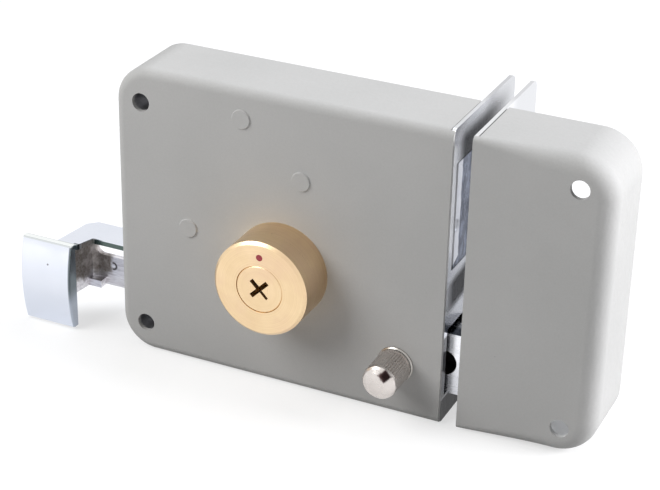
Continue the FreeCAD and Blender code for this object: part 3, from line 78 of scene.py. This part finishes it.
class Look:
    """A procedural material with one principled shader, drawn in the object's own metres."""

    def __init__(self, name, metallic, roughness, specular=0.5):
        self.material = bpy.data.materials.new(name)
        self.material.use_nodes = True
        self.nodes = self.material.node_tree.nodes
        self.links = self.material.node_tree.links
        self.shader = self.nodes["Principled BSDF"]
        self.metallic(metallic)
        self.roughness(roughness)
        self.specular(specular)
        self.place = self.nodes.new("ShaderNodeTexCoord").outputs["Object"]

    def node(self, kind, **inputs):
        made = self.nodes.new(kind)
        for key, value in inputs.items():
            self.feed(made.inputs[key], value)
        return made

    def feed(self, socket, value):
        if isinstance(value, bpy.types.NodeSocket):
            self.links.new(value, socket)
        else:
            socket.default_value = value

    # Sums

    def math(self, operation, first, second=0.0):
        made = self.nodes.new("ShaderNodeMath")
        made.operation = operation
        self.feed(made.inputs[0], first)
        self.feed(made.inputs[1], second)
        return made.outputs[0]

    def plus(self, first, second):
        return self.math("ADD", first, second)

    def minus(self, first, second):
        return self.math("SUBTRACT", first, second)

    def times(self, first, second):
        return self.math("MULTIPLY", first, second)

    def larger(self, first, second):
        return self.math("MAXIMUM", first, second)

    def apart(self, first, second):
        return self.math("ABSOLUTE", self.minus(first, second))

    def reach(self, first, first_centre, second, second_centre):
        """How far a place is from a centre, across two axes."""
        one = self.minus(first, first_centre)
        other = self.minus(second, second_centre)
        return self.math("SQRT", self.plus(self.times(one, one), self.times(other, other)))

    # Masks

    def span(self, value, low, high, to_low=0.0, to_high=1.0, kind="LINEAR"):
        """Values from low to high become to_low to to_high, and stop there."""
        made = self.nodes.new("ShaderNodeMapRange")
        made.interpolation_type = kind
        for name, amount in (("Value", value), ("From Min", low), ("From Max", high),
                             ("To Min", to_low), ("To Max", to_high)):
            self.feed(made.inputs[name], amount)
        return made.outputs[0]

    def fade(self, value, low, high, to_low=0.0, to_high=1.0):
        """A span with soft ends."""
        return self.span(value, low, high, to_low, to_high, "SMOOTHSTEP")

    def spread(self, noise, to_low=0.0, to_high=1.0):
        """A noise's usual values, spread over a range."""
        return self.span(noise, NOISE_LOW, NOISE_HIGH, to_low, to_high)

    def within(self, value, low, high, soft):
        """1 between low and high, fading over the soft distance outside them."""
        return self.times(self.fade(value, low - soft, low), self.fade(value, high, high + soft, 1.0, 0.0))

    def all_of(self, *masks):
        whole = masks[0]
        for mask in masks[1:]:
            whole = self.times(whole, mask)
        return whole

    def spot(self, first, first_centre, second, second_centre, outer, inner):
        """1 inside a round spot."""
        return self.fade(self.reach(first, first_centre, second, second_centre), outer, inner)

    def specks(self, spacing, size, share):
        """Rare small spots: 1 inside a spot."""
        cells = self.node("ShaderNodeTexVoronoi", Vector=self.place, Scale=1 / spacing, Randomness=1.0)
        pick = self.node("ShaderNodeSeparateColor", Color=cells.outputs["Color"])
        near = self.fade(cells.outputs["Distance"], size / spacing, size / spacing * 0.4)
        return self.times(near, self.math("LESS_THAN", pick.outputs[0], share))

    # Textures and mixtures

    def stretched(self, scale):
        return self.node("ShaderNodeMapping", Vector=self.place, Scale=scale).outputs[0]

    def noise(self, scale, detail=2.0, rough=0.5, vector=None):
        made = self.node("ShaderNodeTexNoise", Vector=vector or self.place, Scale=scale, Detail=detail,
                         Roughness=rough)
        return made.outputs["Fac"]

    def wobble(self, scale, detail, size):
        """Small distances that shift an edge to and fro."""
        return self.times(self.minus(self.noise(scale, detail), 0.5), size)

    def mix(self, share, first, second):
        made = self.nodes.new("ShaderNodeMix")
        made.data_type = "RGBA"
        self.feed(made.inputs["Factor"], share)
        for number, tone in ((6, first), (7, second)):
            self.feed(made.inputs[number], tone if isinstance(tone, bpy.types.NodeSocket) else (*tone, 1.0))
        return made.outputs[2]

    def mix_value(self, share, first, second):
        made = self.nodes.new("ShaderNodeMix")
        self.feed(made.inputs["Factor"], share)
        self.feed(made.inputs[2], first)
        self.feed(made.inputs[3], second)
        return made.outputs[0]

    def axes(self):
        return self.node("ShaderNodeSeparateXYZ", Vector=self.place).outputs

    # The shader's inputs

    def colour(self, value):
        self.feed(self.shader.inputs["Base Color"], value)

    def roughness(self, value):
        self.feed(self.shader.inputs["Roughness"], value)

    def metallic(self, value):
        self.feed(self.shader.inputs["Metallic"], value)

    def specular(self, value):
        self.feed(self.shader.inputs["Specular IOR Level"], value)

    def bump(self, height, strength, distance):
        made = self.node("ShaderNodeBump", Height=height, Strength=strength, Distance=distance)
        previous = self.shader.inputs["Normal"].links
        if previous:
            self.links.new(previous[0].from_socket, made.inputs["Normal"])
        self.links.new(made.outputs[0], self.shader.inputs["Normal"])


# Materials

def painted(name, colour, cloud):
    """Stoved grey paint with a fine orange peel and a few dark specks."""
    look = Look(name, metallic=0.0, roughness=0.6, specular=0.2)
    tone = look.mix(look.span(look.noise(28.0, 3.0), 0.35, 0.65), colour, cloud)
    grain = look.mix(look.spread(look.noise(1500.0, 2.0), 0.0, 0.10), tone, darker(colour, 0.62))
    coarse = look.specks(spacing=0.017, size=0.00038, share=0.14)
    fine = look.specks(spacing=0.006, size=0.00022, share=0.05)
    look.colour(look.mix(look.times(look.larger(coarse, fine), 0.75), grain, (0.05, 0.045, 0.04)))
    look.roughness(look.spread(look.noise(420.0, 3.0), 0.58, 0.72))
    look.bump(look.noise(640.0, 2.0, 0.45), strength=0.30, distance=0.00022)
    look.bump(look.noise(1700.0, 1.0), strength=0.12, distance=0.00008)
    return look.material


def bright_plate(name, colour, low, high, darker_flange_and_painted_reflections=False, dim_flange=False):
    """Plated sheet, faintly drawn along its length. The case's plate has painted dark reflections, and its
    flange is darker.
    """
    look = Look(name, metallic=1.0, roughness=0.16)
    drawn = look.noise(1.0, 3.0, 0.6, look.stretched((900.0, 900.0, 22.0)))
    clouds = look.noise(60.0, 4.0)
    clean = look.mix(look.spread(clouds), colour, darker(colour, 0.88))
    _, depth, up = look.axes()
    if dim_flange:
        clean = look.mix(look.fade(depth, 0.0020, 0.0100), clean, (0.68, 0.685, 0.705))
    if darker_flange_and_painted_reflections:
        flange = look.fade(depth, -0.0020, 0.0060)
        clean = look.mix(look.times(flange, 0.85), clean, (0.56, 0.565, 0.585))
        # painted reflections: dark, matt places where the plate would mirror the dark gap
        painted_reflection = look.times(painted_plate_reflections(look, depth, up), look.span(drawn, 0.25, 0.6, 0.94, 1.0))
        clean = look.mix(painted_reflection, clean, (0.022, 0.022, 0.026))
        look.metallic(look.minus(1.0, look.times(painted_reflection, 0.9)))
        look.specular(look.minus(0.5, look.times(painted_reflection, 0.44)))
    look.colour(clean)
    look.roughness(look.spread(look.plus(look.times(drawn, 0.6), look.times(clouds, 0.4)), low, high))
    look.bump(drawn, strength=0.05, distance=0.00003)
    return look.material


def painted_plate_reflections(look, depth, up):
    """Painted dark reflections on the case's plate: above the bolt, below it, beside the latch and at the
    foot.
    """
    above_bolt = look.all_of(look.fade(up, 0.0592, 0.0512), look.span(up, 0.0400, 0.0450),
                             look.fade(depth, -0.0232, -0.0150), look.fade(depth, 0.0270, 0.0000))
    slanted = look.minus(up, look.times(look.plus(depth, 0.016), 0.1))
    below_bolt = look.times(look.within(slanted, -0.0010, 0.0052, 0.0040),
                            look.fade(depth, -0.0262, -0.0180, 0.25, 1.0))
    beside_latch = look.times(look.within(up, -0.0330, -0.0125, 0.0016), 0.82)
    foot = look.times(look.fade(up, -0.0325, -0.0345), look.fade(depth, -0.0300, -0.0262))
    ahead_of_flange = look.fade(depth, 0.0020, -0.0060)
    lower = look.larger(below_bolt, look.larger(beside_latch, foot))
    return look.larger(above_bolt, look.times(ahead_of_flange, lower))


def bolt_metal(name):
    """Bright plating with a faint drawn grain, for the dead bolt and the latch."""
    look = Look(name, metallic=1.0, roughness=0.05)
    drawn = look.noise(1.0, 3.0, 0.6, look.stretched((30.0, 700.0, 700.0)))
    clean = look.mix(look.spread(look.noise(90.0, 4.0)), (0.96, 0.97, 1.0), (0.90, 0.91, 0.95))
    look.bump(drawn, strength=0.02, distance=0.00001)
    return look, drawn, clean


def dead_bolt_metal(name):
    """The dead bolt's end has a painted dark reflection along one side and across its lower corner, in
    streaks.
    """
    look, drawn, clean = bolt_metal(name)
    across, depth, up = look.axes()
    low_end = look.times(look.larger(look.minus(0.0136, up), 0.0), 2.3)
    side = look.plus(look.plus(depth, look.wobble(220.0, 3.0, 0.0022)), low_end)
    # painted reflection: a dark bluish band on the bolt's end where its mirror face would show the dark gap
    reflection_strip = look.times(look.fade(side, -0.0171, -0.0162), look.span(across, BOLT_END, BOLT_END + 0.0003))
    reflection_streaks = look.span(look.noise(1.0, 4.0, 0.65, look.stretched((300.0, 620.0, 190.0))), 0.43, 0.59)
    dark = look.mix(reflection_streaks, (0.055, 0.066, 0.10), (0.26, 0.29, 0.37))
    look.colour(look.mix(reflection_strip, clean, dark))
    look.roughness(look.spread(drawn, 0.03, 0.08))
    return look.material


def latch_metal(name):
    """The latch's face has painted shade towards its foot, its top has painted shade in front, and the inside
    of its pocket for the snib is black."""
    look, drawn, clean = bolt_metal(name)
    across, depth, up = look.axes()
    pocket = look.all_of(look.math("LESS_THAN", look.apart(up, POCKET_HEIGHT), POCKET_RADIUS + 0.0001),
                         look.math("GREATER_THAN", depth, LATCH_FRONT + 0.0001),
                         look.math("LESS_THAN", depth, LATCH_FRONT + POCKET_DEPTH),
                         look.math("LESS_THAN", across, POCKET_END + 0.0001))
    # painted shade: the face is greyer towards its foot
    clean = look.mix(look.fade(up, -0.0190, -0.0275, 0.12, 0.85), clean, (0.62, 0.63, 0.67))
    # painted shade on the top: dark in front, lighter behind
    painted_top_shade = look.mix(look.span(depth, LATCH_FRONT + 0.0035, LATCH_FRONT + 0.0065),
                        (0.060, 0.068, 0.085), (0.52, 0.53, 0.56))
    clean = look.mix(look.span(up, LATCH_TOP - 0.0002, LATCH_TOP - 0.0001), clean, painted_top_shade)
    look.colour(look.mix(pocket, clean, (0.012, 0.011, 0.010)))
    look.metallic(look.minus(1.0, pocket))
    look.roughness(look.mix_value(pocket, look.spread(drawn, 0.20, 0.32), 0.6))
    return look.material


def cast_chrome(name):
    """Polished plating outside, and the rough casting left inside the arm, brown in its corner."""
    look = Look(name, metallic=1.0, roughness=0.2)
    across, depth, up = look.axes()
    clouds = look.noise(70.0, 4.0)
    grit = look.noise(1300.0, 4.0, 0.6)
    behind_grip = look.span(depth, -0.0232, -0.0222)
    beyond_end = look.span(across, -0.0823, -0.0815)
    inside = look.all_of(look.span(up, ARM_UNDERSIDE + 0.0001, ARM_UNDERSIDE - 0.0003), behind_grip,
                         look.span(depth, ARM_BACK, ARM_BACK - 0.0002), beyond_end)

    uneven = look.wobble(260.0, 3.0, 0.006)
    stain = look.all_of(inside, look.fade(look.plus(across, uneven), -0.0725, -0.0750),
                        look.fade(look.plus(up, uneven), -0.0295, -0.0268))
    dressed = look.mix(inside, polished_tone(look, across, depth, up, clouds),
                       worn_tone(look, across, up))
    dressed = look.mix(stain, dressed, stain_tone(look, grit))

    edge = look.all_of(look.span(up, ARM_TOP - 0.0002, ARM_TOP - 0.0004),
                       look.span(up, ARM_UNDERSIDE - 0.0002, ARM_UNDERSIDE + 0.0001),
                       look.span(depth, -0.0079, -0.0082), behind_grip, beyond_end)
    leg = look.span(across, ARM_CORNER, ARM_CORNER - 0.0012)
    leg_tone = look.mix(look.spread(grit), (0.20, 0.18, 0.17), (0.36, 0.33, 0.32))
    edge_tone = look.mix(leg, (0.10, 0.135, 0.125), leg_tone)
    look.colour(look.mix(edge, dressed, edge_tone))

    rough = look.larger(stain, look.times(edge, leg))
    look.metallic(look.minus(1.0, look.times(rough, 0.6)))
    plain = look.mix_value(inside, look.spread(clouds, 0.14, 0.24), 0.36)
    look.roughness(look.mix_value(rough, plain, 0.55))
    look.bump(look.times(grit, stain), strength=0.5, distance=0.00025)
    look.bump(look.noise(160.0, 2.0), strength=0.05, distance=0.0002)
    return look.material


def polished_tone(look, across, depth, up, clouds):
    """The pull's outside: painted shade at its foot, a painted dark reflection on its end face, a painted
    highlight along its top with a crease, and one speck.
    """
    tone = look.mix(look.spread(clouds), (0.80, 0.825, 0.895), (0.74, 0.77, 0.845))
    # painted shade: the outside darkens towards its foot
    shade = look.times(look.fade(up, -0.0180, -0.0400, 0.0, 0.85), look.span(depth, -0.0236, -0.0240))
    tone = look.mix(shade, tone, (0.68, 0.72, 0.81))
    # painted dark reflection on the grip's end face, darker towards its foot
    painted_end_reflection = look.mix(look.fade(up, -0.0330, -0.0250), (0.40, 0.44, 0.51), (0.135, 0.16, 0.175))
    end_face = look.times(look.span(across, GRIP_END - 0.0004, GRIP_END), look.span(depth, -0.0232, -0.0234))
    tone = look.mix(end_face, tone, painted_end_reflection)
    # painted highlight along the grip's top, crossed by darker crease lines
    grip_top = look.times(look.span(up, ARM_TOP - 0.0006, ARM_TOP - 0.0003),
                          look.span(depth, GRIP_BACK + 0.0003, GRIP_BACK))
    crease = look.larger(look.within(depth, GRIP_BACK - 0.0002, GRIP_BACK + 0.0001, 0.0002),
                         look.span(depth, GRIP_BACK - 0.0019, GRIP_BACK - 0.0021))
    tone = look.mix(grip_top, tone, look.mix(crease, (0.93, 0.96, 0.95), (0.66, 0.69, 0.70)))
    speck = look.spot(across, -0.0861, up, -0.0182, outer=0.00045, inner=0.00020)
    return look.mix(speck, tone, (0.22, 0.22, 0.25))


def worn_tone(look, across, up):
    """The arm's inner face: scratched along its length, with a hook-shaped mark."""
    scratches = look.noise(1.0, 3.0, 0.6, look.stretched((160.0, 900.0, 1100.0)))
    worn = look.mix(look.span(scratches, 0.35, 0.65), (0.88, 0.87, 0.90), (0.60, 0.58, 0.61))
    ring = look.apart(look.reach(across, -0.0729, up, -0.0249), 0.0012)
    hook = look.times(look.span(ring, 0.0005, 0.0002), look.span(across, -0.0735, -0.0730))
    return look.mix(hook, worn, (0.10, 0.09, 0.09))


def stain_tone(look, grit):
    brown = look.mix(look.spread(grit), (0.19, 0.165, 0.145), (0.40, 0.36, 0.34))
    blotches = look.span(look.noise(230.0, 3.0, 0.6), 0.50, 0.66, 0.0, 0.85)
    return look.mix(blotches, brown, (0.62, 0.57, 0.565))


def turned_brass(name):
    """Brass turned about the cylinder's axis, with fine rings on its faces and a few spots."""
    look = Look(name, metallic=1.0, roughness=0.32)
    across, depth, up = look.axes()
    rings_per_metre = 2600.0
    ring_place = look.node("ShaderNodeCombineXYZ",
                           X=look.times(look.reach(across, 0.0, up, 0.0), rings_per_metre),
                           Y=look.times(depth, rings_per_metre))
    rings = look.noise(1.0, 3.0, 0.55, ring_place.outputs[0])
    colour = look.mix(look.spread(look.noise(130.0, 5.0, 0.6)), (0.85, 0.65, 0.415), (0.78, 0.585, 0.355))
    blotches = look.span(look.noise(75.0, 3.0, 0.6), 0.48, 0.66, 0.0, 0.5)
    colour = look.mix(blotches, colour, (0.74, 0.52, 0.36))
    spots = look.specks(spacing=0.0042, size=0.00028, share=0.35)
    colour = look.mix(look.times(spots, 0.6), colour, (0.33, 0.21, 0.10))
    look.colour(look.mix(look.span(rings, 0.35, 0.7, 0.0, 0.22), colour, (0.58, 0.41, 0.22)))
    look.roughness(look.spread(rings, 0.26, 0.42))
    look.bump(rings, strength=0.12, distance=0.00005)
    look.bump(look.noise(900.0, 3.0), strength=0.06, distance=0.00006)
    return look.material


def nickel(name, colour, with_painted_reflection):
    """Warm bright nickel. The knob's dome has a painted dark reflection, four-sided."""
    look = Look(name, metallic=1.0, roughness=0.18)
    clouds = look.noise(220.0, 4.0)
    clean = look.mix(look.spread(clouds), colour, darker(colour, 0.88))
    if with_painted_reflection:
        across, depth, up = look.axes()
        # painted reflection: a dark four-sided shape on the knob's dome, darkest at its middle
        side = look.apart(across, SNIB_ACROSS + 0.0022)
        rise = look.apart(up, SNIB_HEIGHT + 0.0033)
        spread = look.plus(look.plus(side, look.times(rise, 1.2)), look.wobble(600.0, 2.0, 0.0016))
        patch = look.times(look.fade(spread, 0.0029, 0.0017), look.span(depth, SNIB_DOME, SNIB_DOME - 0.0004))
        core = look.fade(look.plus(spread, look.times(across, -0.8)), -0.0295, -0.0330)
        clean = look.mix(patch, clean, look.mix(core, (0.10, 0.060, 0.058), (0.020, 0.012, 0.012)))
    look.colour(clean)
    look.roughness(look.spread(clouds, 0.20, 0.32))
    look.bump(look.noise(700.0, 2.0), strength=0.05, distance=0.00005)
    return look.material


def plain_steel(name, colour, low, high):
    look = Look(name, metallic=1.0, roughness=0.35)
    clouds = look.noise(300.0, 4.0)
    look.colour(look.mix(look.spread(clouds), colour, darker(colour, 0.75)))
    look.roughness(look.spread(clouds, low, high))
    look.bump(look.noise(1100.0, 3.0), strength=0.08, distance=0.00006)
    return look.material


def enamel(name):
    look = Look(name, metallic=0.0, roughness=0.25)
    look.colour(look.mix(look.spread(look.noise(2500.0, 3.0)), (0.46, 0.040, 0.060), (0.30, 0.022, 0.036)))
    look.bump(look.noise(1800.0, 2.0), strength=0.25, distance=0.0001)
    return look.material


LOOKS = (
    (painted("case_paint", (0.495, 0.490, 0.481), (0.468, 0.465, 0.456)),
     ("case_cover", "upper_post", "bolt_post", "rear_post", "keeper_cover")),
    (bright_plate("case_plate_chrome", (0.80, 0.81, 0.84), 0.14, 0.24, darker_flange_and_painted_reflections=True),
     ("front_plate", "plate_rivets")),
    (bright_plate("keeper_plate_chrome", (0.93, 0.935, 0.955), 0.06, 0.12, dim_flange=True),
     ("keeper_plate",)),
    (dead_bolt_metal("bolt_chrome"), ("dead_bolt",)),
    (latch_metal("latch_chrome"), ("latch_bolt",)),
    (cast_chrome("handle_chrome"), ("pull_handle",)),
    (turned_brass("brass"), ("cylinder_body", "key_plug", "key_pins", "driver_pins")),
    (nickel("knob_nickel", (0.68, 0.635, 0.605), with_painted_reflection=True), ("snib_knob",)),
    (nickel("bush_nickel", (0.42, 0.40, 0.375), with_painted_reflection=False), ("snib_bush",)),
    (enamel("red_enamel"), ("alignment_dot",)),
    (plain_steel("sleeve_steel", (0.50, 0.50, 0.52), 0.35, 0.6), ("screw_sleeves",)),
    (plain_steel("zinc_steel", (0.55, 0.55, 0.54), 0.25, 0.5),
     ("back_plate", "back_screws", "cylinder_nut", "drive_pinion", "draw_bar", "draw_rivets",
      "latch_guide_rod", "spring_bracket", "bracket_rivets", "snib_nut", "snib_spindle")),
    (plain_steel("spring_steel", (0.30, 0.30, 0.31), 0.25, 0.45),
     ("plug_clip", "pin_springs", "bolt_drag_spring", "latch_spring", "snib_washer")),
)
for material, members in LOOKS:
    for member in members:
        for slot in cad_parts[member].material_slots:
            slot.material = material


def shortening_spring():
    """A copy of the latch's coil spring, fixed to the case body, stands in for the part, which is hidden."""
    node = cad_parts["latch_spring"]
    coil = bpy.data.objects.new("latch_coil", node.data.copy())
    bpy.context.scene.collection.objects.link(coil)
    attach(coil, "case")
    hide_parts("latch_spring")
    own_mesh(coil)


shortening_spring()


# Studio

def fresh_tree(owner):
    """The owner's node tree, emptied."""
    owner.use_nodes = True
    owner.node_tree.nodes.clear()
    return owner.node_tree.nodes, owner.node_tree.links


def node_math(nodes, links, operation, first, second):
    made = nodes.new("ShaderNodeMath")
    made.operation = operation
    links.new(first, made.inputs[0])
    links.new(second, made.inputs[1])
    return made.outputs[0]


def seen_rays(nodes, links):
    """1 for camera, glossy and transmission rays."""
    rays = nodes.new("ShaderNodeLightPath").outputs
    direct = node_math(nodes, links, "MAXIMUM", rays["Is Camera Ray"], rays["Is Glossy Ray"])
    return node_math(nodes, links, "MAXIMUM", direct, rays["Is Transmission Ray"])


def floor_glow(nodes, links):
    """What lifts the floor to white for seen rays: more of it further away, where the lamps reach less."""
    away = nodes.new("ShaderNodeVectorMath")
    away.operation = "LENGTH"
    links.new(nodes.new("ShaderNodeTexCoord").outputs["Object"], away.inputs[0])
    glow = nodes.new("ShaderNodeMapRange")
    glow.interpolation_type = "SMOOTHSTEP"
    for name, value in (("From Min", 0.45), ("From Max", 1.0), ("To Min", 0.6), ("To Max", 1.0)):
        glow.inputs[name].default_value = value
    links.new(away.outputs["Value"], glow.inputs["Value"])
    return node_math(nodes, links, "MULTIPLY", seen_rays(nodes, links), glow.outputs[0])


def stage_floor():
    bpy.ops.mesh.primitive_plane_add(size=FLOOR_SIZE, location=(0.0, 0.0, CASE_LOW - FLOOR_GAP))
    floor = bpy.context.object
    floor.name = "floor"
    made = bpy.data.materials.new("floor_white")
    nodes, links = fresh_tree(made)
    diffuse = nodes.new("ShaderNodeBsdfDiffuse")
    diffuse.inputs["Color"].default_value = (0.42, 0.42, 0.42, 1.0)
    glow = nodes.new("ShaderNodeEmission")
    glow.inputs["Color"].default_value = WHITE
    links.new(floor_glow(nodes, links), glow.inputs["Strength"])
    both = nodes.new("ShaderNodeAddShader")
    links.new(diffuse.outputs[0], both.inputs[0])
    links.new(glow.outputs[0], both.inputs[1])
    output = nodes.new("ShaderNodeOutputMaterial")
    links.new(both.outputs[0], output.inputs["Surface"])
    floor.data.materials.append(made)


def studio_world():
    """White where it is seen, and a dim fill light elsewhere."""
    world = bpy.data.worlds.new("studio")
    nodes, links = fresh_tree(world)
    pick = nodes.new("ShaderNodeMixShader")
    links.new(seen_rays(nodes, links), pick.inputs[0])
    for number, strength in ((1, 0.25), (2, 1.0)):
        background = nodes.new("ShaderNodeBackground")
        background.inputs["Color"].default_value = WHITE
        background.inputs["Strength"].default_value = strength
        links.new(background.outputs[0], pick.inputs[number])
    output = nodes.new("ShaderNodeOutputWorld")
    links.new(pick.outputs[0], output.inputs["Surface"])
    bpy.context.scene.world = world


def soft_light(name, place, size, power, tint=(1.0, 1.0, 1.0)):
    lamp = bpy.data.lights.new(name, "AREA")
    lamp.shape = "SQUARE"
    lamp.size = size
    lamp.energy = power
    lamp.color = tint
    item = bpy.data.objects.new(name, lamp)
    item.location = place
    item.rotation_euler = (Vector(LIGHTS_AIM) - Vector(place)).to_track_quat("-Z", "Y").to_euler()
    bpy.context.scene.collection.objects.link(item)


def photo_camera():
    """The camera, at the place and the angle that the photo was taken from."""
    data = bpy.data.cameras.new("camera")
    data.sensor_width = 36.0
    data.lens = 102.99
    data.shift_x = 0.0079
    data.shift_y = -0.0003
    camera = bpy.data.objects.new("camera", data)
    place = Vector((0.2319, -0.4972, 0.2749))
    right = Vector((0.9038, 0.4274, 0.0197)).normalized()
    back = Vector((0.3733, -0.8101, 0.4521)).normalized()
    above = back.cross(right).normalized()
    right = above.cross(back)
    turn = Matrix((right, above, back)).transposed().to_4x4()
    camera.matrix_world = Matrix.Translation(place) @ turn
    bpy.context.scene.collection.objects.link(camera)
    bpy.context.scene.camera = camera


stage_floor()
studio_world()
soft_light("right_light", (1.2, 0.3, 0.55), size=0.7, power=26.5, tint=(0.97, 0.975, 1.0))
soft_light("top_light", (0.05, 0.6, 1.2), size=0.9, power=5.0, tint=(0.86, 0.92, 1.0))
soft_light("front_light", (-0.36, -0.38, 0.41), size=0.4, power=3.1)
photo_camera()
bpy.context.scene.view_settings.view_transform = "Standard"
